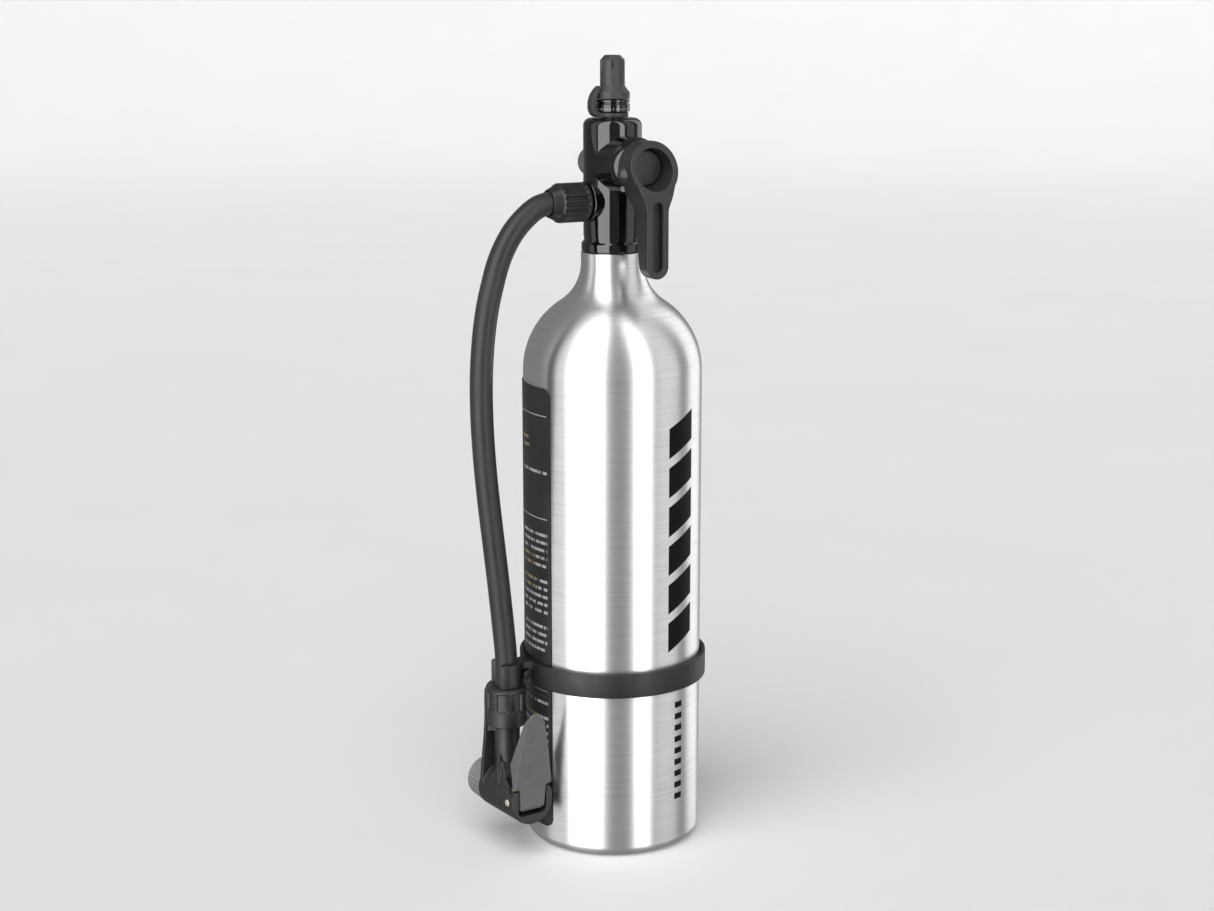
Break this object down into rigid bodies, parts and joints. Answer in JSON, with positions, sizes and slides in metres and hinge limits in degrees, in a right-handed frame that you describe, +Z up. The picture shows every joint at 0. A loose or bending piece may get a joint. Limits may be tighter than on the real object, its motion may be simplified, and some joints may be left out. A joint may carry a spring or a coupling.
{
  "type": "compressed-air canister with hose and pump head",
  "caption": "Satin aluminium compressed-air canister with a black valve head, a turning lever, a capped fill valve, and a hose clipped to a band that ends in a lever pump head.",
  "frame": {"origin": "middle of the bottle's flat base, on the surface that it stands on", "axes": "+Z up along the bottle, -Y towards the valve lever, -X towards the hose port and the hose"},
  "size_m": [0.1099, 0.0831, 0.346],
  "materials": {
    "satin_aluminium": "turned satin, fine lines round the bottle",
    "label_film": "thin printed film, low sheen",
    "gloss_black": "gloss black anodised look",
    "charcoal": "fine moulded grain",
    "mid_grey": "fine moulded grain",
    "light_grey": "knurled",
    "band_black": "smooth moulded",
    "hose_rubber": "matte extruded",
    "seal_rubber": "matte",
    "ivory": "acetal",
    "brass": "turned",
    "steel": "plain",
    "grey_metal": "turned grey"
  },
  "bodies": {
    "tank": {"bottle": "satin_aluminium", "label": "label_film", "neck_oring": "seal_rubber", "valve_body": "gloss_black", "fill_stem": "gloss_black", "fill_core_body": "brass", "fill_core_spring": "steel", "cap_tether": "mid_grey", "hose_barb": "brass", "port_oring": "seal_rubber", "band_clip": "band_black", "band_screw": "steel", "band_nut": "steel", "hose": "hose_rubber"},
    "valve_lever": {"valve_lever": "charcoal", "lever_plug": "charcoal", "lever_screw": "steel", "valve_spool": "brass", "spool_oring_front": "seal_rubber", "spool_oring_rear": "seal_rubber", "spool_end_cap": "grey_metal"},
    "fill_cap": {"fill_cap": "mid_grey", "cap_gasket": "seal_rubber"},
    "fill_pin": {"fill_core_pin": "brass"},
    "hose_nut": {"hose_nut": "charcoal"},
    "chuck": {"chuck_housing": "charcoal", "chuck_barb": "brass", "chuck_lever_pin": "brass", "chuck_grommet": "seal_rubber"},
    "chuck_collar": {"chuck_collar": "charcoal"},
    "chuck_lever": {"chuck_lever": "mid_grey"},
    "chuck_plunger": {"chuck_plunger": "ivory", "plunger_oring": "seal_rubber"},
    "nose_cap": {"nose_cap": "light_grey"}
  },
  "joints": [
    {"name": "valve_lever_turn", "type": "hinge", "parent": "tank", "child": "valve_lever", "pos_m": [0, 0, 0.3003], "axis": [0, -1, 0], "range_deg": [0, 90]},
    {"name": "fill_cap_lift", "type": "slide", "parent": "tank", "child": "fill_cap", "axis": [0, 0, 1], "range_m": [0, 0.014], "deforming": ["cap_tether"]},
    {"name": "fill_pin_press", "type": "slide", "parent": "tank", "child": "fill_pin", "axis": [0, 0, -1], "range_m": [0, 0.0015], "stiffness_N_per_m": 350, "springref_m": -0.002, "deforming": ["fill_core_spring"]},
    {"name": "hose_nut_spin", "type": "hinge", "parent": "tank", "child": "hose_nut", "pos_m": [0, 0, 0.2848], "axis": [-1, 0, 0], "continuous": true},
    {"name": "hose_unclip", "type": "slide", "parent": "tank", "child": "chuck", "axis": [-0.9953, 0.0969, 0], "range_m": [0, 0.025], "deforming": ["hose"]},
    {"name": "chuck_collar_spin", "type": "hinge", "parent": "chuck", "child": "chuck_collar", "pos_m": [-0.05136, 0.005, 0.0569], "axis": [0, 0, 1], "continuous": true},
    {"name": "chuck_lever_flip", "type": "hinge", "parent": "chuck", "child": "chuck_lever", "pos_m": [-0.05028, -0.01046, 0.0264], "axis": [0.9976, 0.0698, 0], "range_deg": [0, 90]},
    {"name": "plunger_push", "type": "slide", "parent": "chuck", "child": "chuck_plunger", "axis": [-0.0698, 0.9976, 0], "range_m": [0, 0.00172]},
    {"name": "nose_cap_spin", "type": "hinge", "parent": "chuck", "child": "nose_cap", "pos_m": [-0.05234, 0.01897, 0.0264], "axis": [-0.0698, 0.9976, 0], "continuous": true}
  ],
  "couplings": [
    {"joint": "plunger_push", "follows": "chuck_lever_flip", "m_per_rad": 0.00108}
  ]
}
